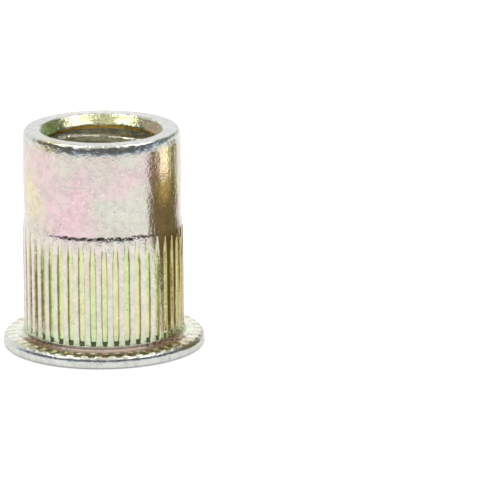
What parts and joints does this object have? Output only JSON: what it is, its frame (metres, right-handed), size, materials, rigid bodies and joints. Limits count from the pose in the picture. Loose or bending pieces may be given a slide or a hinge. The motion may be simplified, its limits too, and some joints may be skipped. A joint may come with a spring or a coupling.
{
  "type": "rivet nut",
  "caption": "Flat-head, open-ended rivet nut in yellow-zinc-plated steel, with a straight knurl, a serrated flange face and an internal screw thread.",
  "frame": {"origin": "centre of the flange's outer face, which the nut stands on", "axes": "+Z along the axis from the flange to the threaded end; one groove of the knurl lies at +X and one at -Y"},
  "size_m": [0.0164, 0.0164, 0.0179],
  "materials": {
    "yellow_zinc_steel": "bright yellow-zinc chromate with faint iridescence, lightly blasted grain"
  },
  "bodies": {
    "root": {"rivet_nut": "yellow_zinc_steel"}
  },
  "joints": []
}
